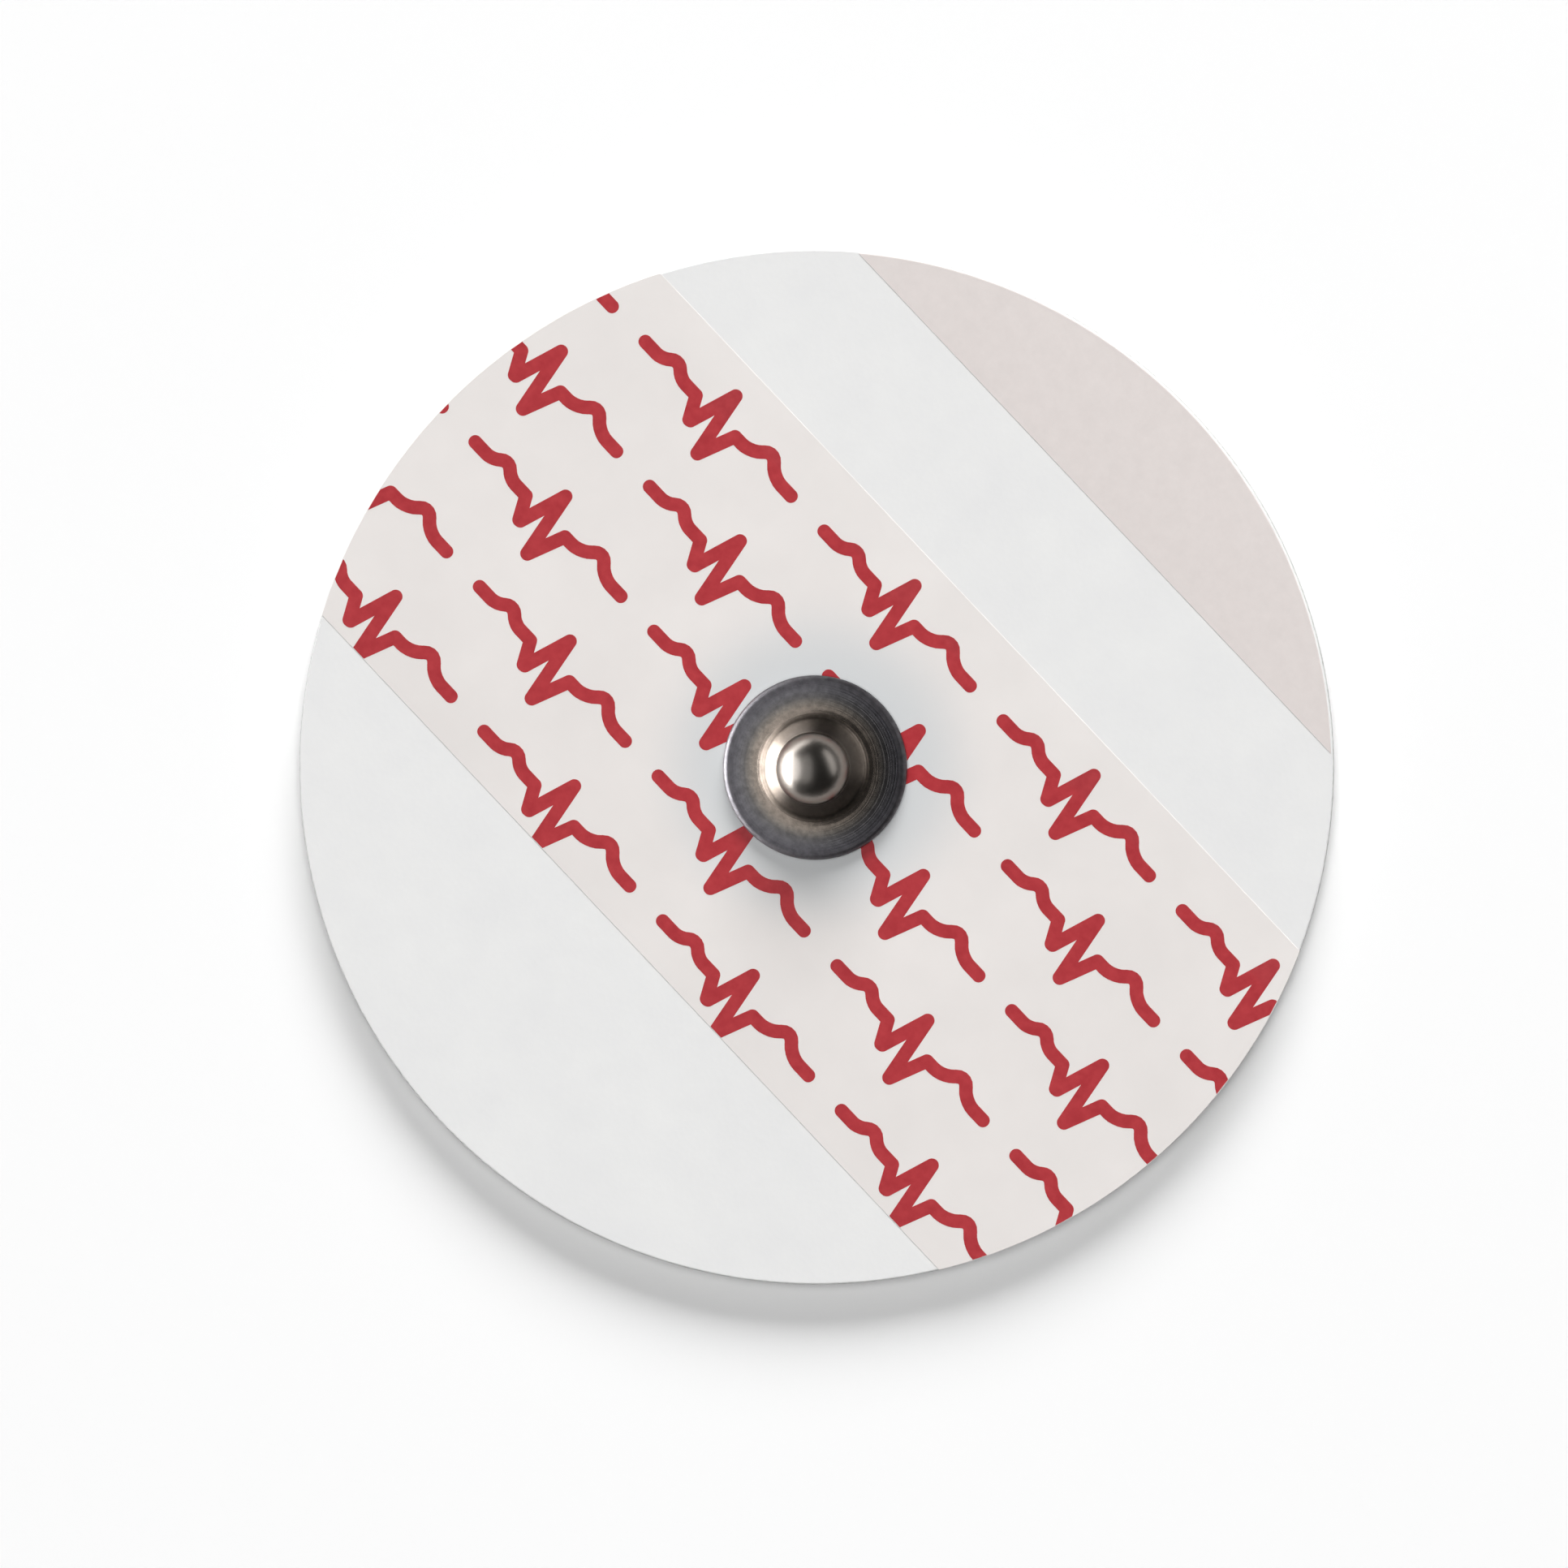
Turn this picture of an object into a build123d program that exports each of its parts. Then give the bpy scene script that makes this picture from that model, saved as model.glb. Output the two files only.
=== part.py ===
from build123d import *
import math
import os

# Disposable snap electrode, in millimetres, lying on its adhesive face with the stud up.
# The origin is the centre of the adhesive face; +Z runs up the stud, +X runs along the
# label strip and +Y points at the finger tab.

# Foam disc with a round well for the gel
DISC_DIAMETER = 55.0
FOAM_THICKNESS = 1.6
WELL_DIAMETER = 18.7

# Label film, a strip cut flush with the disc at both ends
LABEL_WIDTH = 25.6
LABEL_SHIFT = -0.77  # of the strip's centre line, away from the tab
LABEL_THICKNESS = 0.1
LABEL_HOLE_CLEARANCE = 0.1  # round the eyelet's post

# Finger tab film, a segment of the disc
TAB_DEPTH = 7.1  # from the rim to the tab's straight edge
TAB_THICKNESS = 0.1

# Snap stud: sheet
SHEET = 0.25

# Snap stud: rolled rim of the flange
FLANGE_DIAMETER = 9.8
HEM_GAP = 0.14  # between the flange and the leaf rolled under it
HEM_LEAF = 0.85  # flat part of the leaf

# Snap stud: flange and flared foot
WEB_SLOPE = 5.0  # degrees, up towards the middle
FLARE_WIDTH = 1.155
FLARE_SLOPE = 39.0  # degrees
FOOT_BEND = 1.15  # outer radii of the bends, from the flange upwards
WAIST_BEND = 0.3

# Snap stud: waist and head
HEAD_DIAMETER = 3.9
NECK_DEPTH = 0.295  # of the waist below the head's widest ring
WAIST_LENGTH = 0.3
NECK_RISE = 0.3
NECK_BEND = 0.2
HEAD_BEND = 0.35
LAND_LENGTH = 0.38  # straight part at the widest ring
SHOULDER_RADIUS = 1.35
CROWN_SPREAD = 48.0  # degrees from the axis, where the flatter crown meets the shoulder

# Sensor eyelet
EYELET_INSET = 0.25  # of its flange inside the stud's, with the label clamped between them
EYELET_THICKNESS = 0.5
CRIMP_CLEARANCE = 0.03  # between the post and the stud's waist
TIP_FLARE = 0.18
TIP_HEADROOM = 1.15  # between the post's tip and the inside of the crown
TIP_CHAMFER = 0.25

# Gel pad
GEL_TO_WELL = 0.15
GEL_TO_EYELET = 0.03


# Heights that the layers give
label_base = FOAM_THICKNESS
label_top = label_base + LABEL_THICKNESS

# Stud section: radii, then heights above the label from the rim to the crown
head_radius = HEAD_DIAMETER / 2
waist_radius = head_radius - NECK_DEPTH
foot_radius = waist_radius + FLARE_WIDTH
flange_radius = FLANGE_DIAMETER / 2
roll_radius = SHEET + HEM_GAP / 2
roll_centre = flange_radius - roll_radius
rim_height = 2 * roll_radius
foot_height = rim_height + (roll_centre - foot_radius) * math.tan(math.radians(WEB_SLOPE))
waist_foot = foot_height + FLARE_WIDTH * math.tan(math.radians(FLARE_SLOPE))
waist_top = waist_foot + WAIST_LENGTH
land_base = waist_top + NECK_RISE
land_top = land_base + LAND_LENGTH
shoulder_centre = head_radius - SHOULDER_RADIUS
crown_spread = math.radians(CROWN_SPREAD)
crown_radius = SHOULDER_RADIUS + shoulder_centre / math.sin(crown_spread)
crown_centre = land_top - shoulder_centre / math.tan(crown_spread)
crown_top = crown_centre + crown_radius

# Eyelet: flange under the label, then the post inside the stud
eyelet_radius = flange_radius - EYELET_INSET
eyelet_base = label_base - EYELET_THICKNESS
wall = SHEET + CRIMP_CLEARANCE
post_radius = waist_radius - wall
neck_angle = math.atan2(NECK_DEPTH, NECK_RISE)
post_top = label_top + waist_top + wall * math.tan(neck_angle / 2)
tip_radius = post_radius + TIP_FLARE
tip_base = post_top + TIP_FLARE / math.tan(neck_angle)
tip_top = label_top + crown_top - SHEET - TIP_HEADROOM


def turned(outline):
    """Solid of revolution about Z of an outline drawn as radius and height."""
    return revolve(Plane.XZ * make_face(outline), Axis.Z)


def slab(face, base, thickness):
    """Flat sheet of the given outline with its underside at base."""
    return extrude(Pos(0, 0, base) * face, thickness)


def whole_section(*half):
    """Face of a section drawn on the right of the axis and mirrored to the left."""
    edges = [edge for line in half for edge in line.edges()]
    return make_face([*edges, *mirror(edges, Plane.YZ).edges()])


def make_foam_disc():
    ring = Circle(DISC_DIAMETER / 2) - Circle(WELL_DIAMETER / 2)
    return slab(ring, 0, FOAM_THICKNESS)


def make_label_strip():
    strip = Pos(0, LABEL_SHIFT) * Rectangle(DISC_DIAMETER, LABEL_WIDTH)
    outline = Circle(DISC_DIAMETER / 2) & strip
    hole = Circle(post_radius + LABEL_HOLE_CLEARANCE)
    return slab(outline - hole, label_base, LABEL_THICKNESS)


def make_finger_tab():
    beyond = Pos(0, DISC_DIAMETER - TAB_DEPTH) * Rectangle(DISC_DIAMETER, DISC_DIAMETER)
    return slab(Circle(DISC_DIAMETER / 2) & beyond, label_base, TAB_THICKNESS)


def make_snap_stud():
    """Pressed sheet: its outer section less the section one sheet inside, turned about Z."""
    crown = CenterArc((0, crown_centre), crown_radius, 90, -CROWN_SPREAD)
    shoulder_sweep = 90 - CROWN_SPREAD
    shoulder = CenterArc((shoulder_centre, land_top), SHOULDER_RADIUS, shoulder_sweep, -shoulder_sweep)
    flank = (
        (head_radius, land_top),
        (head_radius, land_base),
        (waist_radius, waist_top),
        (waist_radius, waist_foot),
        (foot_radius, foot_height),
        (roll_centre, rim_height),
    )
    bent_flank = FilletPolyline(*flank, radius=(HEAD_BEND, NECK_BEND, WAIST_BEND, FOOT_BEND))
    roll = CenterArc((roll_centre, roll_radius), roll_radius, 90, -180)
    sharp_flank = Polyline(*flank, (flange_radius, rim_height), (flange_radius, 0))
    outside = whole_section(crown, shoulder, bent_flank, roll, Line((roll_centre, 0), (0, 0)))
    blank = whole_section(crown, shoulder, sharp_flank, Line((flange_radius, 0), (0, 0)))
    inside = offset(blank, -SHEET, kind=Kind.INTERSECTION)
    mouth = Rectangle(2 * (roll_centre - HEM_LEAF), 2 * SHEET)
    right_half = Rectangle(FLANGE_DIAMETER, 2 * crown_top, align=(Align.MIN, Align.CENTER))
    section = (outside - inside - mouth) & right_half
    return Pos(0, 0, label_top) * revolve(Plane.XZ * section, Axis.Z)


def make_sensor_eyelet():
    outline = Polyline(
        (0, eyelet_base),
        (eyelet_radius, eyelet_base),
        (eyelet_radius, label_base),
        (post_radius, label_base),
        (post_radius, post_top),
        (tip_radius, tip_base),
        (tip_radius, tip_top - TIP_CHAMFER),
        (tip_radius - TIP_CHAMFER, tip_top),
        (0, tip_top),
        close=True,
    )
    return turned(outline.edges())


def make_gel_pad():
    radius = WELL_DIAMETER / 2 - GEL_TO_WELL
    pocket_radius = eyelet_radius + GEL_TO_EYELET
    outline = Polyline(
        (0, 0),
        (radius, 0),
        (radius, label_base),
        (pocket_radius, label_base),
        (pocket_radius, eyelet_base),
        (0, eyelet_base),
        close=True,
    )
    return turned(outline.edges())


os.makedirs("parts", exist_ok=True)
export_step(make_foam_disc(), "parts/foam_disc.step")
export_step(make_label_strip(), "parts/label_strip.step")
export_step(make_finger_tab(), "parts/finger_tab.step")
export_step(make_snap_stud(), "parts/snap_stud.step")
export_step(make_sensor_eyelet(), "parts/sensor_eyelet.step")
export_step(make_gel_pad(), "parts/gel_pad.step")
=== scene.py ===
# %% [markdown]
# # A disposable snap electrode
#
# The object is a round foam plaster, 55 mm across, that holds a small metal snap stud against
# the skin. This lesson dresses its engineering model: it loads the solids, builds the pieces
# that show with Blender's mesh operators, and gives each one the finish of its real material.
# All lengths in the text are millimetres, and Blender works in metres.

# %% Load the engineering model
import math
import bmesh
import bpy
from mathutils import Matrix, Vector


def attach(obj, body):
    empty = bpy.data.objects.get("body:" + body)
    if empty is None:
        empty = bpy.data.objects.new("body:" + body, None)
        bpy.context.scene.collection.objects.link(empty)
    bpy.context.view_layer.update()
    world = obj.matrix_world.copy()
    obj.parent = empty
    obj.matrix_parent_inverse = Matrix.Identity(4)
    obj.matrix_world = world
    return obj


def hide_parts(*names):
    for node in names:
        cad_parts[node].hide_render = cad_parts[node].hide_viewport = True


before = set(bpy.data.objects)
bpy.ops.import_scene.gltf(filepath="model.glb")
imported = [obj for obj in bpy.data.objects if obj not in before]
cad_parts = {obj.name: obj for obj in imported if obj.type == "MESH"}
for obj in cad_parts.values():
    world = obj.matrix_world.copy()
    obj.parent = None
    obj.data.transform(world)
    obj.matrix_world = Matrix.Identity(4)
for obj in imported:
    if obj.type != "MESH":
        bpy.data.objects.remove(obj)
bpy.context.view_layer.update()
MM = 0.001
print("nodes:", sorted(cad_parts))

# %% [markdown]
# ## Tools for pieces
#
# Every piece ends the same way: its mesh becomes an object, shades smoothly except at its
# sharp edges, takes its material, rides on the model's only body and stands for its solid.
# Where a wide flat face meets a rounded edge, smooth shading would bend the whole face, so a
# modifier lets the larger face decide.

# %% Tools for pieces
def place(bm, name, solid, slot, *materials, crease=32):
    """Make an object of a bmesh, sharp past crease degrees, that stands for one solid."""
    mesh = bpy.data.meshes.new(name)
    bm.to_mesh(mesh)
    bm.free()
    mesh.shade_smooth()
    mesh.set_sharp_from_angle(angle=math.radians(crease))
    for material in materials:
        mesh.materials.append(material)
    piece = bpy.data.objects.new(name, mesh)
    bpy.context.scene.collection.objects.link(piece)
    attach(piece, "root")
    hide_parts(solid)
    sides = [round(side / MM, 2) for side in piece.dimensions]
    print(name, "mm:", sides, "faces:", len(mesh.polygons))
    return piece


def shade_by_area(piece):
    """Let large faces set the shading at a rounded edge, so that they look flat up to it."""
    piece.modifiers.new("shade by area", "WEIGHTED_NORMAL").keep_sharp = True


print("tools for pieces ready")

# %% [markdown]
# ## Tools for materials
#
# Colours are written as the hex values that a paint program shows, and one function turns them
# into the linear values that a renderer adds up. A material starts empty, gets its nodes one by
# one with their options and inputs, and is closed by its shader. A colour ramp takes a list of
# stops. With these tools the materials below stay short enough to read.

# %% Tools for materials
def colour(code):
    """Linear colour with full alpha of an sRGB hex value such as E6E1DE."""
    parts = [int(code[i:i + 2], 16) / 255 for i in (0, 2, 4)]
    linear = [p / 12.92 if p <= 0.04045 else ((p + 0.055) / 1.055) ** 2.4 for p in parts]
    return (*linear, 1.0)


def grey(level):
    """Grey of a linear level, for ramps that carry a measure and not a colour."""
    return (level, level, level, 1.0)


def node(material, kind, sockets=None, **options):
    """Add a shader node; sockets maps an input to a value or to the output that feeds it."""
    made = material.node_tree.nodes.new(kind)
    for option, value in options.items():
        setattr(made, option, value)
    for socket, value in (sockets or {}).items():
        if isinstance(value, bpy.types.NodeSocket):
            material.node_tree.links.new(value, made.inputs[socket])
        else:
            made.inputs[socket].default_value = value
    return made


def set_stops(ramp, stops):
    """Give a colour ramp its stops, a list of positions and linear colours from low to high."""
    elements = ramp.color_ramp.elements
    for element, (position, value) in zip(elements, (stops[0], stops[-1])):
        element.position = position
        element.color = value
    for position, value in stops[1:-1]:
        elements.new(position).color = value


def new_material(name):
    """Empty node material, and its Object coordinates, which are metres."""
    material = bpy.data.materials.new(name)
    material.use_nodes = True
    material.node_tree.nodes.clear()
    place_on = node(material, "ShaderNodeTexCoord").outputs["Object"]
    return material, place_on


def set_surface(material, shader):
    """Send a shader to the material's surface."""
    node(material, "ShaderNodeOutputMaterial", {"Surface": shader.outputs[0]})


print("tools for materials ready")

# %% [markdown]
# ## Polyethylene foam
#
# The disc is die cut from a white closed-cell polyethylene foam. Its skin is nearly smooth,
# matte and a neutral light grey-white, with a very faint cloudiness where the cells lie
# closer together. Only its cut wall shows the cells themselves, as pits between thin pale
# walls; the wall is painted greyer than the skin and darkest in the pits, which is painted
# shade in the open cells. A Voronoi texture gives the cells and a soft noise the clouds, and
# the distance from the axis tells skin from wall. The cells are about 0.15 mm across in life;
# here they are drawn at 0.32 mm, so that the wall still shows them from a hand's distance.

# %% Foam material: colour
FOAM_CELL = 0.32
FOAM_CLOUD = 3.5
DISC_RADIUS = 27.5
CUT_STARTS = DISC_RADIUS - 0.03
CUT_IS_FULL = DISC_RADIUS - 0.01

foam_white, at = new_material("closed-cell polyethylene foam, die cut")
cells = node(foam_white, "ShaderNodeTexVoronoi", {"Vector": at, "Scale": 1 / (FOAM_CELL * MM)})
clouds = node(foam_white, "ShaderNodeTexNoise",
              {"Vector": at, "Scale": 1 / (FOAM_CLOUD * MM), "Detail": 4.0, "Roughness": 0.6})
tone = node(foam_white, "ShaderNodeValToRGB", {"Fac": clouds.outputs["Fac"]})
set_stops(tone, [(0.25, colour("E6E6E6")), (0.75, colour("EBEBEA"))])
across = node(foam_white, "ShaderNodeVectorMath", {0: at, 1: (1, 1, 0)}, operation="MULTIPLY")
reach = node(foam_white, "ShaderNodeVectorMath", {0: across.outputs[0]}, operation="LENGTH")
# Painted shade: the cut wall's colour is darker than the skin and darkest in the cell pits.
painted_pit_shade = node(foam_white, "ShaderNodeValToRGB", {"Fac": cells.outputs["Distance"]})
set_stops(painted_pit_shade, [(0.1, colour("A8A8A6")), (0.6, colour("D2D2D0"))])
cut_here = node(foam_white, "ShaderNodeMapRange",
                {"Value": reach.outputs["Value"], "From Min": CUT_STARTS * MM,
                 "From Max": CUT_IS_FULL * MM})
skin_or_cut = node(foam_white, "ShaderNodeMix",
                   {"Factor": cut_here.outputs["Result"], "A": tone.outputs["Color"],
                    "B": painted_pit_shade.outputs["Color"]}, data_type="RGBA")
print("foam cells drawn at", FOAM_CELL, "mm")

# %% Foam material: surface
CELL_DEPTH = 0.06
BUMP_STARTS = DISC_RADIUS - 0.14
BUMP_IS_FULL = DISC_RADIUS - 0.02

wall = node(foam_white, "ShaderNodeMapRange",
            {"Value": reach.outputs["Value"], "From Min": BUMP_STARTS * MM,
             "From Max": BUMP_IS_FULL * MM, "To Min": 0.07, "To Max": 0.55})
cell_bump = node(foam_white, "ShaderNodeBump",
                 {"Height": cells.outputs["Distance"], "Strength": wall.outputs["Result"],
                  "Distance": CELL_DEPTH * MM})
foam_shader = node(foam_white, "ShaderNodeBsdfPrincipled",
                   {"Base Color": skin_or_cut.outputs["Result"], "Roughness": 0.72, "IOR": 1.5,
                    "Specular IOR Level": 0.3, "Normal": cell_bump.outputs["Normal"]})
set_surface(foam_white, foam_shader)
print("foam nodes:", len(foam_white.node_tree.nodes))

# %% [markdown]
# ## The foam disc
#
# A ring of foam with a round well in its middle for the gel. It could be a cylinder with a
# hole cut in it, but a spun section is cleaner: four corners of the ring's section are turned
# once round the Z axis, and the two outer edges get the small rounding that the cutting die
# leaves.

# %% Foam disc
FOAM_THICKNESS = 1.6
WELL_RADIUS = 9.35
DIE_ROUNDING = 0.1
AROUND = 288
SAME_POINT = 0.0005


def section(bm, points, closed=False):
    """Wire of an outline given as radius and height in millimetres, standing on the X axis."""
    verts = [bm.verts.new((r * MM, 0, z * MM)) for r, z in points]
    ends = zip(verts, verts[1:] + verts[:1]) if closed else zip(verts, verts[1:])
    return [bm.edges.new(pair) for pair in ends]


def turn(bm, edges):
    """Spin a wire once round the Z axis into a skin that faces outwards."""
    bmesh.ops.spin(bm, geom=edges, cent=(0, 0, 0), axis=(0, 0, 1), angle=math.tau,
                   steps=AROUND, use_merge=True)
    bmesh.ops.remove_doubles(bm, verts=bm.verts, dist=SAME_POINT * MM)
    bmesh.ops.recalc_face_normals(bm, faces=bm.faces)


def ring(bm, radius, height):
    """Edges that run round the axis at a radius and height in millimetres."""
    def on_it(v):
        return abs(v.co.xy.length / MM - radius) < 0.01 and abs(v.co.z / MM - height) < 0.005
    return [e for e in bm.edges if all(on_it(v) for v in e.verts)]


def soften(bm, edges, offset, segments=3):
    """Round edges by an offset in millimetres."""
    bmesh.ops.bevel(bm, geom=edges, offset=offset * MM, offset_type="OFFSET", affect="EDGES",
                    segments=segments, profile=0.5, material=-1, clamp_overlap=True)


foam = bmesh.new()
foam_section = [(WELL_RADIUS, 0), (DISC_RADIUS, 0), (DISC_RADIUS, FOAM_THICKNESS),
                (WELL_RADIUS, FOAM_THICKNESS)]
turn(foam, section(foam, foam_section, closed=True))
for edge_height in (0, FOAM_THICKNESS):
    soften(foam, ring(foam, DISC_RADIUS, edge_height), DIE_ROUNDING)
foam_piece = place(foam, "die_cut_foam", "foam_disc", "foam", foam_white)
shade_by_area(foam_piece)

# %% [markdown]
# ## Label film and its ink
#
# The label is a white film with a warm, satin face. Round the stud it lies on the clear gel
# in the well instead of on white foam, so it looks cooler and greyer there. That grey is also
# painted darker round the stud as painted shade of the stud, and it fades out at the well's
# edge. A radius taken from the object's own coordinates drives it. The print is one red ink, a
# little thinner in some places than in others.

# %% Label material
HALO_INNER = 4.6
HALO_OUTER = 10.2
FILM_CLOUD = 4.0
FILM_WAVE = 1.2
FILM_WAVE_DEPTH = 0.02

label_white, at = new_material("polypropylene label film, satin")
across = node(label_white, "ShaderNodeVectorMath", {0: at, 1: (1, 1, 0)}, operation="MULTIPLY")
reach = node(label_white, "ShaderNodeVectorMath", {0: across.outputs[0]}, operation="LENGTH")
# Painted shade: towards the stud the film turns to the grey CED0D1, partly the cool gel under it
# and partly the stud's shade painted in.
gel_tone_and_painted_shade = node(label_white, "ShaderNodeMapRange",
                {"Value": reach.outputs["Value"], "From Min": HALO_INNER * MM,
                 "From Max": HALO_OUTER * MM}, interpolation_type="SMOOTHERSTEP")
film_clouds = node(label_white, "ShaderNodeTexNoise",
                   {"Vector": at, "Scale": 1 / (FILM_CLOUD * MM), "Detail": 3.0})
film_tone = node(label_white, "ShaderNodeValToRGB", {"Fac": film_clouds.outputs["Fac"]})
set_stops(film_tone, [(0.3, colour("E2DDDA")), (0.7, colour("E7E2DF"))])
film_colour = node(label_white, "ShaderNodeMix",
                   {"Factor": gel_tone_and_painted_shade.outputs["Result"], "A": colour("CED0D1"),
                    "B": film_tone.outputs["Color"]}, data_type="RGBA")
film_waves = node(label_white, "ShaderNodeTexNoise",
                  {"Vector": at, "Scale": 1 / (FILM_WAVE * MM), "Detail": 2.0})
film_bump = node(label_white, "ShaderNodeBump",
                 {"Height": film_waves.outputs["Fac"], "Strength": 0.12,
                  "Distance": FILM_WAVE_DEPTH * MM})
film_shader = node(label_white, "ShaderNodeBsdfPrincipled",
                   {"Base Color": film_colour.outputs["Result"], "Roughness": 0.42,
                    "IOR": 1.49, "Normal": film_bump.outputs["Normal"]})
set_surface(label_white, film_shader)
print("label tone fades from", HALO_INNER, "to", HALO_OUTER, "mm")

# %% Ink material
INK_CLOUD = 0.5

red_ink, at = new_material("red flexographic ink")
ink_density = node(red_ink, "ShaderNodeTexNoise",
                   {"Vector": at, "Scale": 1 / (INK_CLOUD * MM), "Detail": 3.0})
ink_tone = node(red_ink, "ShaderNodeValToRGB", {"Fac": ink_density.outputs["Fac"]})
set_stops(ink_tone, [(0.3, colour("A4212A")), (0.75, colour("B42F36"))])
ink_shader = node(red_ink, "ShaderNodeBsdfPrincipled",
                  {"Base Color": ink_tone.outputs["Color"], "Roughness": 0.45, "IOR": 1.5,
                   "Specular IOR Level": 0.3})
set_surface(red_ink, ink_shader)
print("ink nodes:", len(red_ink.node_tree.nodes))

# %% [markdown]
# ## The label strip
#
# One strip of film lies across the disc and is cut flush with it at both ends. A ring of
# faces is spun from a single edge, two planes cut away what lies beyond the strip's straight
# sides, and a thickness turns the sheet into film. The laminating roller presses the edges of
# the film into the soft foam, so they hardly show: the last few millimetres of the finished
# strip curve gently down, which leaves a step far thinner than the film.

# %% Label strip
FILM_THICKNESS = 0.1
FILM_TOP = FOAM_THICKNESS + FILM_THICKNESS
FILM_EASE = 0.02
HOLE_RADIUS = 1.475
STRIP_LOW = -13.57
STRIP_HIGH = 12.03
ON_CUT = 0.0001


def keep_side(bm, y, outward):
    """Cut a sheet straight along y, in millimetres, and drop the part on the outward side."""
    geom = bm.verts[:] + bm.edges[:] + bm.faces[:]
    bmesh.ops.bisect_plane(bm, geom=geom, dist=ON_CUT * MM, plane_co=(0, y * MM, 0),
                           plane_no=(0, outward, 0), clear_outer=True)


def thicken(bm, thickness):
    """Give a flat sheet that faces up its thickness, upwards, and ease its upper edges."""
    sheet = bmesh.ops.extrude_face_region(bm, geom=bm.faces[:])
    raised = [v for v in sheet["geom"] if isinstance(v, bmesh.types.BMVert)]
    bmesh.ops.translate(bm, verts=raised, vec=(0, 0, thickness * MM))
    bmesh.ops.recalc_face_normals(bm, faces=bm.faces)
    top = max(v.co.z for v in bm.verts) - 0.001 * MM
    upper = [e for e in bm.edges if all(v.co.z > top for v in e.verts)]
    soften(bm, [e for e in upper if e.calc_face_angle(0) > 1], FILM_EASE, segments=2)


label = bmesh.new()
label_section = [(HOLE_RADIUS, FOAM_THICKNESS), (DISC_RADIUS, FOAM_THICKNESS)]
turn(label, section(label, label_section))
keep_side(label, STRIP_HIGH, 1)
keep_side(label, STRIP_LOW, -1)
thicken(label, FILM_THICKNESS)
print("label sheet faces:", len(label.faces))

# %% [markdown]
# ## The print
#
# The label carries a plain red pattern, and a heartbeat trace suits what the object is for:
# a low wave, a sharp spike and a round wave. One trace is a wire of a few vertices. Its waves
# are rounded by bevelling vertices, the wire is raised into a thin wall, and a thickness makes
# the wall a ribbon with mitred corners. Long mitres are first cut blunt, because a bevel over a
# very sharp corner comes out pointed, and then each corner is rounded as a pen would leave it.
# Copies run along the strip in staggered rows. Planes along the film's outline cut off what
# hangs over it, and each cut is closed at once, so that the ink stays solid.

# %% Heartbeat trace
STROKE = 0.73
INK_HEIGHT = 0.006
TRACE = [(0, 0), (1.5, 0), (2.35, 0.85), (3.2, 0), (4.5, 0), (4.9, -0.68), (5.8, 2.7),
         (6.65, -1.15), (7.05, 0), (8.3, 0), (9.35, 1.2), (10.4, 0), (12.0, 0)]
WAVES = {1: 0.3, 2: 0.88, 3: 0.3, 9: 0.5, 10: 1.0, 11: 0.5}

trace = bmesh.new()
points = [trace.verts.new((x * MM, (y + STROKE / 2) * MM, FILM_TOP * MM)) for x, y in TRACE]
for pair in zip(points, points[1:]):
    trace.edges.new(pair)
for index, rounding in WAVES.items():
    bmesh.ops.bevel(trace, geom=[points[index]], offset=rounding * MM, offset_type="OFFSET",
                    affect="VERTICES", segments=5, profile=0.5, material=-1)
raised = bmesh.ops.extrude_edge_only(trace, edges=trace.edges[:])["geom"]
bmesh.ops.translate(trace, verts=[v for v in raised if isinstance(v, bmesh.types.BMVert)],
                    vec=(0, 0, INK_HEIGHT * MM))
bmesh.ops.recalc_face_normals(trace, faces=trace.faces)
bmesh.ops.solidify(trace, geom=trace.faces[:], thickness=STROKE * MM)
bmesh.ops.recalc_face_normals(trace, faces=trace.faces)
bmesh.ops.dissolve_limit(trace, angle_limit=0.01, verts=trace.verts[:], edges=trace.edges[:])
print("ribbon faces:", len(trace.faces))

# %% Pen strokes with round corners
SPIKE_TURN = 110
SPIKE_TIP = 0.58
CORNER_TURN = 45
PEN_RADIUS = 0.35


def upright_corners(bm, turned):
    """Upright edges where a ribbon's outline turns outwards by more than an angle in degrees."""
    uprights = [e for e in bm.edges if abs(e.verts[0].co.z - e.verts[1].co.z) > 0.001 * MM]
    limit = math.radians(turned)
    return [e for e in uprights if e.is_convex and e.calc_face_angle(0) > limit]


def half_opening(edge):
    """Half of the angle that a ribbon's outline encloses at an upright edge."""
    return (math.pi - edge.calc_face_angle()) / 2


for spike in upright_corners(trace, SPIKE_TURN):
    soften(trace, [spike], SPIKE_TIP / 2 / math.sin(half_opening(spike)), segments=1)
for corner in upright_corners(trace, CORNER_TURN):
    soften(trace, [corner], PEN_RADIUS / math.tan(half_opening(corner)), segments=6)
trace_sheet = bpy.data.meshes.new("trace")
trace.to_mesh(trace_sheet)
trace.free()
print("one trace has", len(trace_sheet.polygons), "faces")

# %% Rows of traces, trimmed to the film
ROWS = 5
ROW_STEP = 5.12
ROW_START = 0.4
COLUMNS = range(-3, 3)
TRACE_STEP = 13.85
STAGGER = 8.1
TRIM = 0.04
TRIM_PLANES = AROUND // 2


def trim(bm, point, outward):
    """Cut away what lies beyond a plane, given in millimetres, and close the cut ends."""
    geom = bm.verts[:] + bm.edges[:] + bm.faces[:]
    bmesh.ops.bisect_plane(bm, geom=geom, dist=ON_CUT * MM, plane_co=Vector(point) * MM,
                           plane_no=outward, clear_outer=True)
    bmesh.ops.holes_fill(bm, edges=[e for e in bm.edges if e.is_boundary])


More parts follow.
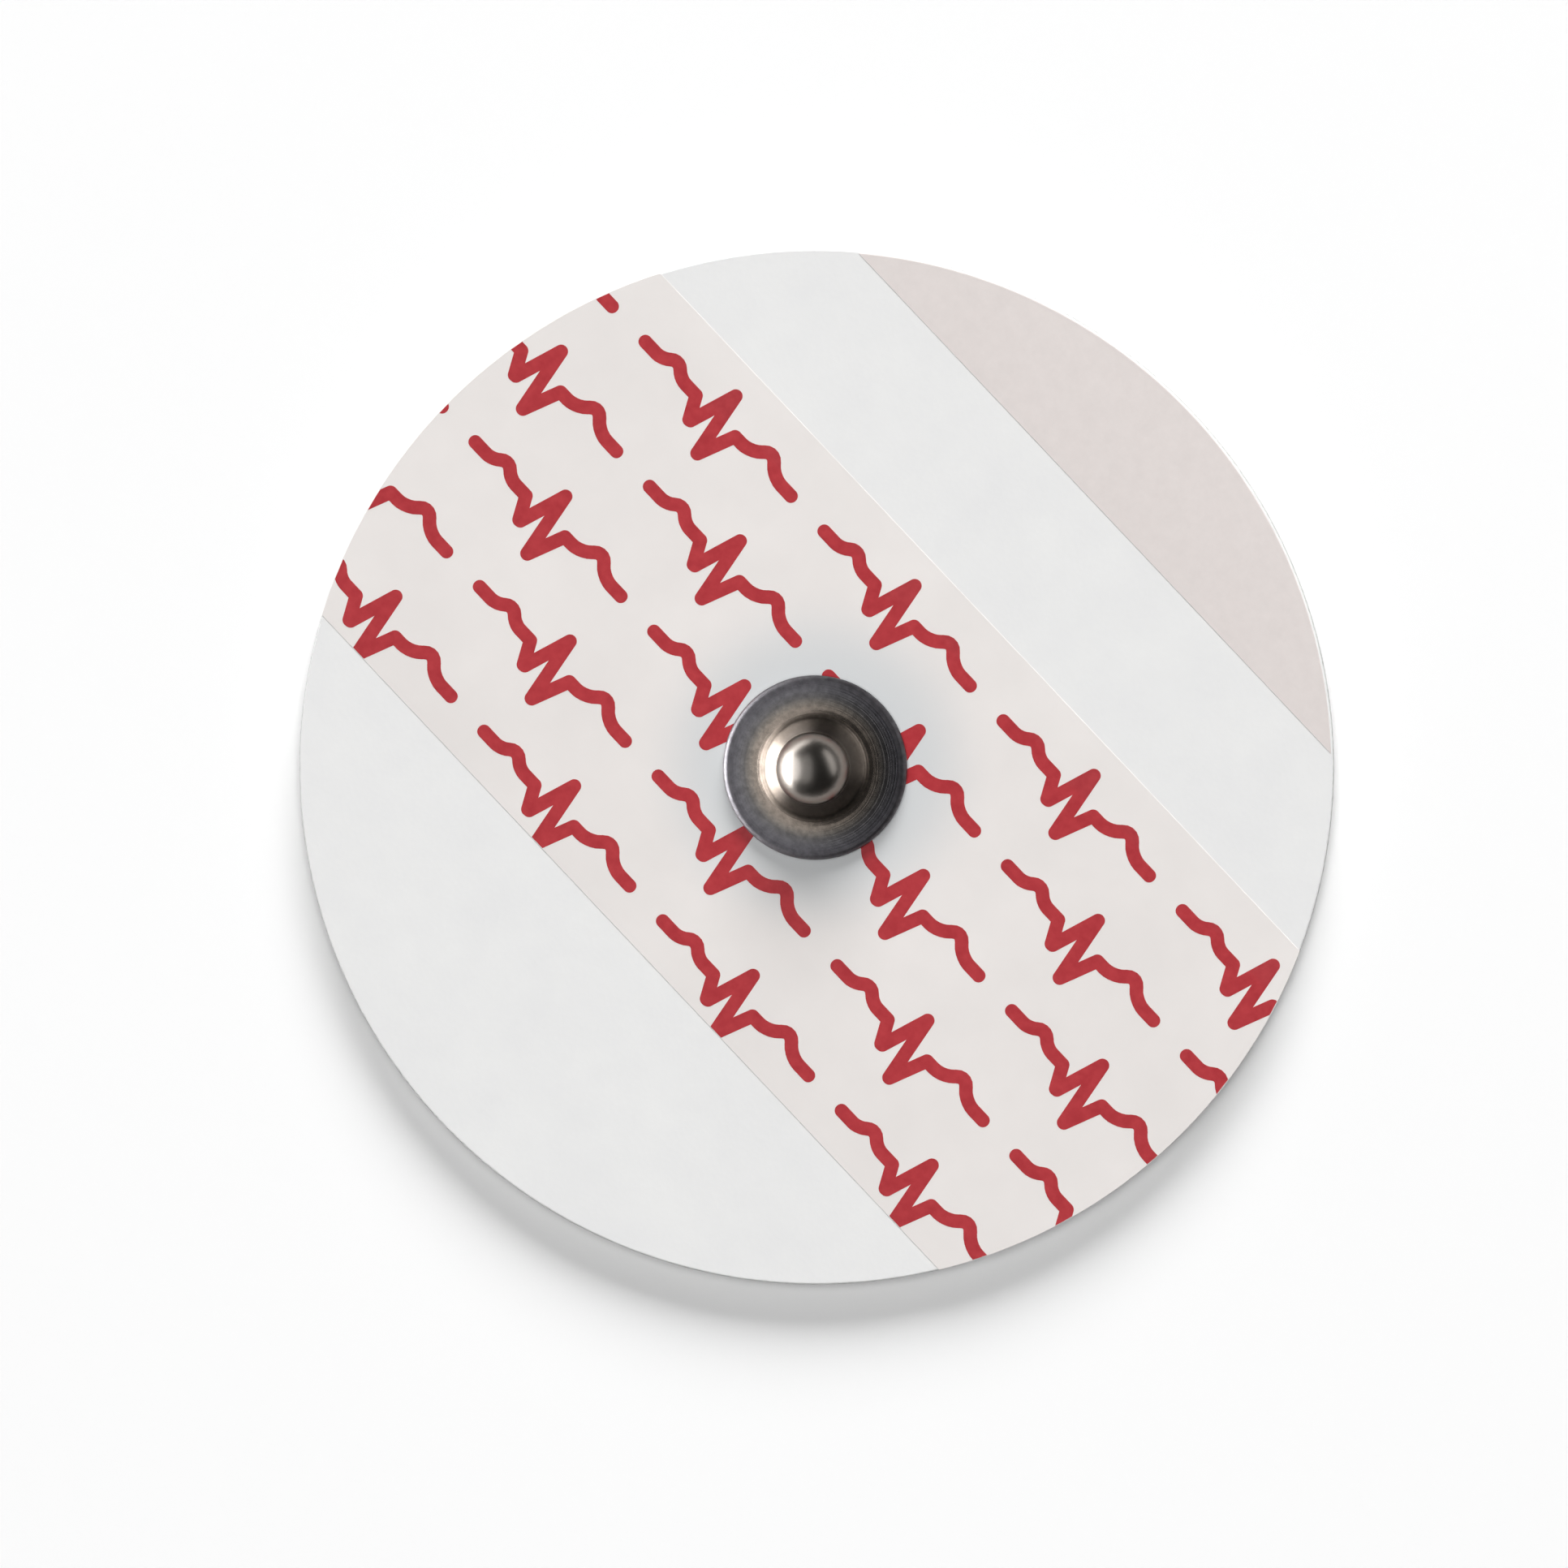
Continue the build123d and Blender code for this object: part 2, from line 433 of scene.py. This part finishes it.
prints = bmesh.new()
for row in range(ROWS):
    row_y = STRIP_LOW + ROW_STEP * (row + ROW_START)
    for column in COLUMNS:
        left = column * TRACE_STEP + (row * STAGGER) % TRACE_STEP
        placed = len(prints.verts)
        prints.from_mesh(trace_sheet)
        prints.verts.ensure_lookup_table()
        bmesh.ops.translate(prints, verts=prints.verts[placed:],
                            vec=(left * MM, row_y * MM, 0))
bpy.data.meshes.remove(trace_sheet)
trim(prints, (0, STRIP_HIGH - TRIM, 0), (0, 1, 0))
trim(prints, (0, STRIP_LOW + TRIM, 0), (0, -1, 0))
for step in range(TRIM_PLANES):
    angle = math.tau * (step + 0.5) / TRIM_PLANES
    outward = Vector((math.cos(angle), math.sin(angle), 0))
    trim(prints, outward * (DISC_RADIUS - TRIM), outward)
bmesh.ops.recalc_face_normals(prints, faces=prints.faces)
for face in prints.faces:
    face.material_index = 1
print("ink faces:", len(prints.faces))

# %% Ink on the film, and the film pressed down at its edges
PRESSED_WIDTH = 5.0
PRESSED_STEPS = 4
PRESSED_DEPTH = 0.075


def press_edge(bm, y, outward):
    """Bend the upper side of a film down in a soft curve towards its straight edge at y."""
    start = y - outward * PRESSED_WIDTH
    for cut in range(PRESSED_STEPS):
        cut_y = start + outward * PRESSED_WIDTH * cut / PRESSED_STEPS
        geom = bm.verts[:] + bm.edges[:] + bm.faces[:]
        bmesh.ops.bisect_plane(bm, geom=geom, dist=ON_CUT * MM, plane_co=(0, cut_y * MM, 0),
                               plane_no=(0, 1, 0))
    for v in bm.verts:
        along = outward * (v.co.y / MM - start) / PRESSED_WIDTH
        if along > 0 and v.co.z > (FOAM_THICKNESS + FILM_THICKNESS / 2) * MM:
            v.co.z -= PRESSED_DEPTH * MM * along ** 2


ink_sheet = bpy.data.meshes.new("ink")
prints.to_mesh(ink_sheet)
prints.free()
label.from_mesh(ink_sheet)
bpy.data.meshes.remove(ink_sheet)
press_edge(label, STRIP_HIGH, 1)
press_edge(label, STRIP_LOW, -1)
place(label, "printed_label", "label_strip", "label_film", label_white, red_ink, crease=15)

# %% [markdown]
# ## The finger tab
#
# A segment of uncoated film at one edge keeps a finger off the adhesive. It is a shade
# darker and pinker than the foam, and more matte than the label. It is made as the label was,
# from a disc with no hole in it, and ends just inside the foam's rounded rim.

# %% Tab material
TAB_GRAIN = 0.7
TAB_GRAIN_DEPTH = 0.015

tab_film, at = new_material("polyester tab film, matt coated")
tab_grain = node(tab_film, "ShaderNodeTexNoise",
                 {"Vector": at, "Scale": 1 / (TAB_GRAIN * MM), "Detail": 5.0, "Roughness": 0.65})
tab_tone = node(tab_film, "ShaderNodeValToRGB", {"Fac": tab_grain.outputs["Fac"]})
set_stops(tab_tone, [(0.25, colour("DBD3D0")), (0.75, colour("E1D9D6"))])
tab_bump = node(tab_film, "ShaderNodeBump",
                {"Height": tab_grain.outputs["Fac"], "Strength": 0.1,
                 "Distance": TAB_GRAIN_DEPTH * MM})
tab_shader = node(tab_film, "ShaderNodeBsdfPrincipled",
                  {"Base Color": tab_tone.outputs["Color"], "Roughness": 0.58, "IOR": 1.57,
                   "Specular IOR Level": 0.35, "Normal": tab_bump.outputs["Normal"]})
set_surface(tab_film, tab_shader)
print("tab nodes:", len(tab_film.node_tree.nodes))

# %% Finger tab
TAB_CHORD = 20.4
TAB_INSET = 0.12

tab = bmesh.new()
tab_section = [(0, FOAM_THICKNESS), (DISC_RADIUS - TAB_INSET, FOAM_THICKNESS)]
turn(tab, section(tab, tab_section))
keep_side(tab, TAB_CHORD, -1)
thicken(tab, FILM_THICKNESS)
press_edge(tab, TAB_CHORD, -1)
place(tab, "tab_film", "finger_tab", "tab_film", tab_film, crease=15)

# %% [markdown]
# ## Nickel-plated brass
#
# The stud is pressed from thin brass and nickel plated to a half-bright finish. The press
# leaves fine rings round the axis, which show on the flange, and the plate there is clouded by
# small dull stains, while the dome is clean. Nickel is a warm grey metal. Its colour here also
# carries painted light: painted shade makes it dark and brown in the hollow of the flare and
# darker over the rolled rim, and painted reflections make it pale where the flange starts and
# bluer near the rim. Nearly all of this follows the radius, so a few ramps over it are enough.
# The rings are about 0.03 mm apart in life and are drawn 0.11 mm apart, so that they show.

# %% Stud material: colour over the radius
FLANGE_RADIUS = 4.9
STAIN_SIZE = 0.4
STAIN_STARTS = 1.8
STAIN_IS_FULL = 2.8

nickel, at = new_material("nickel-plated brass, press formed")
across = node(nickel, "ShaderNodeVectorMath", {0: at, 1: (1, 1, 0)}, operation="MULTIPLY")
reach = node(nickel, "ShaderNodeVectorMath", {0: across.outputs[0]}, operation="LENGTH")
share = node(nickel, "ShaderNodeMath",
             {0: reach.outputs["Value"], 1: FLANGE_RADIUS * MM}, operation="DIVIDE")
# Painted light: this ramp paints shade into the flare's hollow and over the rolled rim, and
# paints reflections as the pale and bluish bands of the flange.
plate_and_painted_light = node(nickel, "ShaderNodeValToRGB", {"Fac": share.outputs[0]})
plate_and_painted_light_stops = [(0.0, "97928D"), (0.28, "948E88"), (0.36, "857E77"), (0.41, "645D57"),
               (0.54, "736A62"), (0.59, "C5B6A9"), (0.66, "D1C3B6"), (0.72, "B8B0A8"),
               (0.77, "979494"), (0.84, "9A989D"), (0.89, "8E8C92"), (0.945, "7A787D"),
               (1.0, "767477")]
set_stops(plate_and_painted_light, [(position, colour(code)) for position, code in plate_and_painted_light_stops])
stain = node(nickel, "ShaderNodeTexNoise",
             {"Vector": at, "Scale": 1 / (STAIN_SIZE * MM), "Detail": 5.0, "Roughness": 0.65})
stain_floor = node(nickel, "ShaderNodeMapRange",
                   {"Value": reach.outputs["Value"], "From Min": STAIN_STARTS * MM,
                    "From Max": STAIN_IS_FULL * MM, "To Min": 1.0, "To Max": 0.66})
stain_depth = node(nickel, "ShaderNodeMapRange",
                   {"Value": stain.outputs["Fac"], "From Min": 0.3, "From Max": 0.65,
                    "To Min": stain_floor.outputs["Result"], "To Max": 1.08})
stained_plate_and_painted_light = node(nickel, "ShaderNodeVectorMath",
                  {0: plate_and_painted_light.outputs["Color"], "Scale": stain_depth.outputs["Result"]},
                  operation="SCALE")
print("plate stops:", len(plate_and_painted_light_stops))

# %% Stud material: press rings and gloss
RING_STEP = 0.11
RING_DEPTH = 0.02
RINGS_START = 1.9
RINGS_ARE_FULL = 2.8

turns = node(nickel, "ShaderNodeMath",
             {0: reach.outputs["Value"], 1: 1 / (RING_STEP * MM)}, operation="MULTIPLY")
ring_noise = node(nickel, "ShaderNodeTexNoise",
                  {"W": turns.outputs[0], "Scale": 1.0, "Detail": 2.0}, noise_dimensions="1D")
off_dome = node(nickel, "ShaderNodeMapRange",
                {"Value": reach.outputs["Value"], "From Min": RINGS_START * MM,
                 "From Max": RINGS_ARE_FULL * MM, "To Min": 0.02, "To Max": 0.3})
ring_bump = node(nickel, "ShaderNodeBump",
                 {"Height": ring_noise.outputs["Fac"], "Strength": off_dome.outputs["Result"],
                  "Distance": RING_DEPTH * MM})
dull = node(nickel, "ShaderNodeValToRGB", {"Fac": share.outputs[0]})
dull_stops = [(0.38, 0.3), (0.45, 0.32), (0.52, 0.34), (0.62, 0.25), (0.9, 0.25), (0.96, 0.52)]
set_stops(dull, [(position, grey(level)) for position, level in dull_stops])
nickel_shader = node(nickel, "ShaderNodeBsdfPrincipled",
                     {"Base Color": stained_plate_and_painted_light.outputs[0], "Metallic": 1.0,
                      "Roughness": dull.outputs["Color"],
                      "Normal": ring_bump.outputs["Normal"]})
set_surface(nickel, nickel_shader)
print("press rings drawn", RING_STEP, "mm apart")

# %% [markdown]
# ## The snap stud
#
# The stud is one skin of pressed sheet: a round head that a lead wire's socket snaps over, a
# narrow waist that the socket closes round, a flared foot, and a flange whose rim is rolled
# under. Only half of its section is drawn. Single vertices are spun into the crown, its
# tighter shoulder and the rolled rim, the straight runs between them are extruded, and their
# corners are bevelled to the bends of the press tool. One turn round Z makes the skin and a
# thickness makes it sheet.

# %% Stud sizes
SHEET = 0.25
HEAD_RADIUS = 1.95
SHOULDER_RADIUS = 1.35
CROWN_SPREAD = math.radians(48)
ROLL_RADIUS = 0.32
WAIST_RADIUS = 1.655
WAIST_LENGTH = 0.3
NECK_RISE = 0.3
LAND_LENGTH = 0.38
FOOT_RADIUS = 2.81
FLARE_SLOPE = math.radians(39)
WEB_SLOPE = math.radians(5)
HEM_LEAF = 0.85
ROLL_CENTRE = FLANGE_RADIUS - ROLL_RADIUS
FOOT_HEIGHT = 2 * ROLL_RADIUS + (ROLL_CENTRE - FOOT_RADIUS) * math.tan(WEB_SLOPE)
WAIST_FOOT = FOOT_HEIGHT + (FOOT_RADIUS - WAIST_RADIUS) * math.tan(FLARE_SLOPE)
WAIST_TOP = WAIST_FOOT + WAIST_LENGTH
LAND_BASE = WAIST_TOP + NECK_RISE
LAND_TOP = LAND_BASE + LAND_LENGTH
SHOULDER_CENTRE = HEAD_RADIUS - SHOULDER_RADIUS
CROWN_RADIUS = SHOULDER_RADIUS + SHOULDER_CENTRE / math.sin(CROWN_SPREAD)
CROWN_CENTRE = LAND_TOP - SHOULDER_CENTRE / math.tan(CROWN_SPREAD)
print("stud height mm:", round(CROWN_CENTRE + CROWN_RADIUS, 3))

# %% Stud section
CROWN_STEPS = 26
SHOULDER_STEPS = 22
ROLL_STEPS = 20


def at_point(radius, height):
    """Point of the stud's section, given above the label in millimetres."""
    return Vector((radius * MM, 0, (FILM_TOP + height) * MM))


def arc(bm, start, centre, angle, steps):
    """Spin one vertex of the section about a point and return the last vertex."""
    made = bmesh.ops.spin(bm, geom=[start], cent=at_point(*centre), axis=(0, 1, 0),
                          angle=angle, steps=steps)
    return [v for v in made["geom_last"] if isinstance(v, bmesh.types.BMVert)][0]


def run(bm, start, radius, height):
    """Extrude one vertex of the section to a point and return the new vertex."""
    end = bmesh.ops.extrude_vert_indiv(bm, verts=[start])["verts"][0]
    end.co = at_point(radius, height)
    return end


stud = bmesh.new()
tip = stud.verts.new(at_point(0, CROWN_CENTRE + CROWN_RADIUS))
crown_end = arc(stud, tip, (0, CROWN_CENTRE), CROWN_SPREAD, CROWN_STEPS)
shoulder_end = arc(stud, crown_end, (SHOULDER_CENTRE, LAND_TOP), math.pi / 2 - CROWN_SPREAD,
                   SHOULDER_STEPS)
land = run(stud, shoulder_end, HEAD_RADIUS, LAND_BASE)
neck = run(stud, land, WAIST_RADIUS, WAIST_TOP)
waist = run(stud, neck, WAIST_RADIUS, WAIST_FOOT)
foot = run(stud, waist, FOOT_RADIUS, FOOT_HEIGHT)
web_end = run(stud, foot, ROLL_CENTRE, 2 * ROLL_RADIUS)
roll_end = arc(stud, web_end, (ROLL_CENTRE, ROLL_RADIUS), math.pi, ROLL_STEPS)
run(stud, roll_end, ROLL_CENTRE - HEM_LEAF, 0)
print("section vertices:", len(stud.verts))

# %% Snap stud
BENDS = [(land, 0.35, 44.5), (neck, 0.2, 44.5), (waist, 0.3, 51), (foot, 1.15, 34)]

for corner, bend, turned in BENDS:
    tangent = bend * math.tan(math.radians(turned) / 2)
    bmesh.ops.bevel(stud, geom=[corner], offset=tangent * MM, offset_type="OFFSET",
                    affect="VERTICES", segments=10, profile=0.5, material=-1)
turn(stud, stud.edges[:])
bmesh.ops.solidify(stud, geom=stud.faces[:], thickness=SHEET * MM)
shade_by_area(place(stud, "pressed_stud", "snap_stud", "stud_metal", nickel))

# %% [markdown]
# ## Gel pad and sensor eyelet
#
# Under the stud a plug of clear hydrogel fills the well and touches the skin. It is wet,
# glossy and faintly blue. In it sits the flange of the sensor, a plastic eyelet with a grey
# coat of silver and silver chloride, whose post is crimped inside the stud. The gel is spun
# from its section and its lower edge is softened. The eyelet's own solid has the right shape
# already, so it only gets a material.

# %% Gel pad
EYELET_POCKET = 4.68
GEL_RADIUS = 9.2
GEL_ROUNDING = 0.3
POCKET_HEIGHT = 1.1
GEL_RIPPLE = 2.2
GEL_RIPPLE_DEPTH = 0.05

hydrogel, at = new_material("hydrogel, cast clear")
gel_ripple = node(hydrogel, "ShaderNodeTexNoise",
                  {"Vector": at, "Scale": 1 / (GEL_RIPPLE * MM), "Detail": 3.0})
gel_bump = node(hydrogel, "ShaderNodeBump",
                {"Height": gel_ripple.outputs["Fac"], "Strength": 0.25,
                 "Distance": GEL_RIPPLE_DEPTH * MM})
gel_tone = node(hydrogel, "ShaderNodeValToRGB", {"Fac": gel_ripple.outputs["Fac"]})
set_stops(gel_tone, [(0.0, colour("CFE1EC")), (1.0, colour("E4F0F6"))])
gel_shader = node(hydrogel, "ShaderNodeBsdfPrincipled",
                  {"Base Color": gel_tone.outputs["Color"], "Roughness": 0.08, "IOR": 1.37,
                   "Transmission Weight": 0.75, "Normal": gel_bump.outputs["Normal"]})
set_surface(hydrogel, gel_shader)

gel = bmesh.new()
gel_section = [(0, 0), (GEL_RADIUS, 0), (GEL_RADIUS, FOAM_THICKNESS),
               (EYELET_POCKET, FOAM_THICKNESS), (EYELET_POCKET, POCKET_HEIGHT),
               (0, POCKET_HEIGHT)]
turn(gel, section(gel, gel_section))
soften(gel, ring(gel, GEL_RADIUS, 0), GEL_ROUNDING, segments=5)
gel_piece = place(gel, "gel_plug", "gel_pad", "hydrogel", hydrogel)
shade_by_area(gel_piece)

# %% Sensor eyelet
GRIT_SIZE = 0.12
GRIT_DEPTH = 0.01

silver_coat, at = new_material("silver and silver chloride coat on plastic")
grit = node(silver_coat, "ShaderNodeTexNoise",
            {"Vector": at, "Scale": 1 / (GRIT_SIZE * MM), "Detail": 4.0})
coat_tone = node(silver_coat, "ShaderNodeValToRGB", {"Fac": grit.outputs["Fac"]})
set_stops(coat_tone, [(0.3, colour("77777A")), (0.7, colour("97979A"))])
coat_bump = node(silver_coat, "ShaderNodeBump",
                 {"Height": grit.outputs["Fac"], "Strength": 0.3, "Distance": GRIT_DEPTH * MM})
coat_shader = node(silver_coat, "ShaderNodeBsdfPrincipled",
                   {"Base Color": coat_tone.outputs["Color"], "Metallic": 0.35,
                    "Roughness": 0.5, "Normal": coat_bump.outputs["Normal"]})
set_surface(silver_coat, coat_shader)
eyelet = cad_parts["sensor_eyelet"]
eyelet.data.materials.clear()
eyelet.data.materials.append(silver_coat)
print("eyelet keeps its solid, with", len(eyelet.data.polygons), "faces")

# %% [markdown]
# ## Floor and camera
#
# The electrode lies on a plain white floor, a large single face a hair below it. The camera
# looks almost straight down, from slightly right of the disc and slightly towards the top of
# the picture, and is turned so that the strip runs across it at a slant. A long lens from far
# away keeps the disc round. The camera is aimed by the place and the width of the disc in a
# square picture with sides of 1932 pixels.

# %% Floor
FLOOR_CLOUD = 60
FLOOR_HALF = 12.0
FLOOR_DROP = 0.02

floor_white, at = new_material("white paper sweep, smooth")
floor_grain = node(floor_white, "ShaderNodeTexNoise",
                   {"Vector": at, "Scale": 1 / (FLOOR_CLOUD * MM)})
floor_tone = node(floor_white, "ShaderNodeValToRGB", {"Fac": floor_grain.outputs["Fac"]})
set_stops(floor_tone, [(0.0, colour("FDFDFD")), (1.0, colour("FFFFFF"))])
floor_shader = node(floor_white, "ShaderNodeBsdfDiffuse",
                    {"Color": floor_tone.outputs["Color"]})
set_surface(floor_white, floor_shader)
ground = bmesh.new()
bmesh.ops.create_grid(ground, x_segments=1, y_segments=1, size=FLOOR_HALF)
ground_mesh = bpy.data.meshes.new("floor")
ground.to_mesh(ground_mesh)
ground.free()
ground_mesh.materials.append(floor_white)
floor = bpy.data.objects.new("floor", ground_mesh)
floor.location.z = -FLOOR_DROP * MM
bpy.context.scene.collection.objects.link(floor)
print("floor side m:", 2 * FLOOR_HALF)

# %% Camera
PIXELS = 1932
DISC_PIXELS = 1275.8
PIXEL = DISC_RADIUS * 2 / DISC_PIXELS
RIGHT = Vector((0.6871, 0.7266, 0))
UP = Vector((-0.7266, 0.6871, 0))
DISC_AT = (1004.85, 945.46)
DISTANCE = 900.0
SENSOR = 36.0
LEAN_RIGHT = math.radians(3.2)
LEAN_UP = math.radians(1.6)

offset = (PIXELS / 2 - DISC_AT[0], DISC_AT[1] - PIXELS / 2)
aim = (RIGHT * offset[0] + UP * offset[1]) * PIXEL
aim.z = FOAM_THICKNESS
back = Vector((0, 0, 1)) + RIGHT * math.tan(LEAN_RIGHT) + UP * math.tan(LEAN_UP)
back.normalize()
camera_data = bpy.data.cameras.new("camera")
camera_data.sensor_width = SENSOR
camera_data.lens = SENSOR * DISTANCE / (PIXELS * PIXEL)
camera = bpy.data.objects.new("camera", camera_data)
bpy.context.scene.collection.objects.link(camera)
side = UP.cross(back).normalized()
camera.rotation_mode = "QUATERNION"
camera.rotation_quaternion = Matrix((side, back.cross(side), back)).transposed().to_quaternion()
camera.location = (aim + back * DISTANCE) * MM
bpy.context.scene.camera = camera
print("lens mm:", round(camera_data.lens, 1), "aim mm:", [round(c, 2) for c in aim])

# %% [markdown]
# ## Light
#
# A broad panel overhead lights everything at the level at which a colour looks as it was
# written, and a large panel that stands low beyond the top of the picture draws a long, soft
# shadow below the disc. Polished metal only shows what surrounds it, so the stud also gets
# cards that it mirrors but that add no light to the white parts: four on the left, from a small
# bright one near the floor to a wide faint one almost overhead, and one on the right for the
# pale edge of the dome. A dark ceiling with a pale wall under it fills the rest of the mirror.

# %% Panels and cards
def panel(name, across, forward, height, size, radiance, diffuse=True, glossy=True):
    """Oval lamp placed in metres right, towards the picture's top and up, facing the disc."""
    lamp = bpy.data.lights.new(name, "AREA")
    lamp.shape = "ELLIPSE"
    lamp.size, lamp.size_y = size
    lamp.energy = radiance * math.pi * math.pi / 4 * size[0] * size[1]
    holder = bpy.data.objects.new(name, lamp)
    holder.location = RIGHT * across + UP * forward + Vector((0, 0, height))
    holder.rotation_mode = "QUATERNION"
    holder.rotation_quaternion = holder.location.to_track_quat("Z", "Y")
    holder.visible_camera = False
    holder.visible_diffuse = diffuse
    holder.visible_glossy = glossy
    bpy.context.scene.collection.objects.link(holder)


panel("overhead_panel", 0, 0, 1.4, (0.9, 0.9), 5.1, glossy=False)
panel("far_panel", 0.5, 4.0, 1.87, (3.6, 2.2), 13.0, glossy=False)
panel("left_card", -1.0, 0.0, 0.2, (1.3, 0.34), 20.0, diffuse=False)
panel("left_wide_card", -1.0, 0.35, 0.2, (4.6, 0.34), 3.8, diffuse=False)
panel("left_middle_card", -0.8, 0.0, 0.62, (1.2, 0.62), 2.1, diffuse=False)
panel("left_high_card", -0.42, 0.0, 1.2, (2.2, 0.95), 0.44, diffuse=False)
panel("right_card", 0.87, 0.36, 0.53, (1.5, 0.4), 1.2, diffuse=False)

# %% Wall and ceiling
world = bpy.data.worlds.new("studio")
bpy.context.scene.world = world
world.use_nodes = True
backdrop = world.node_tree.nodes["Background"]
gaze = node(world, "ShaderNodeTexCoord")
heights = node(world, "ShaderNodeSeparateXYZ", {0: gaze.outputs["Generated"]})
wall_to_ceiling = node(world, "ShaderNodeValToRGB", {"Fac": heights.outputs["Z"]})
set_stops(wall_to_ceiling, [(0.03, grey(0.95)), (0.06, grey(0.02))])
world.node_tree.links.new(wall_to_ceiling.outputs["Color"], backdrop.inputs["Color"])
bpy.context.scene.view_settings.view_transform = "Standard"
print("world nodes:", len(world.node_tree.nodes))
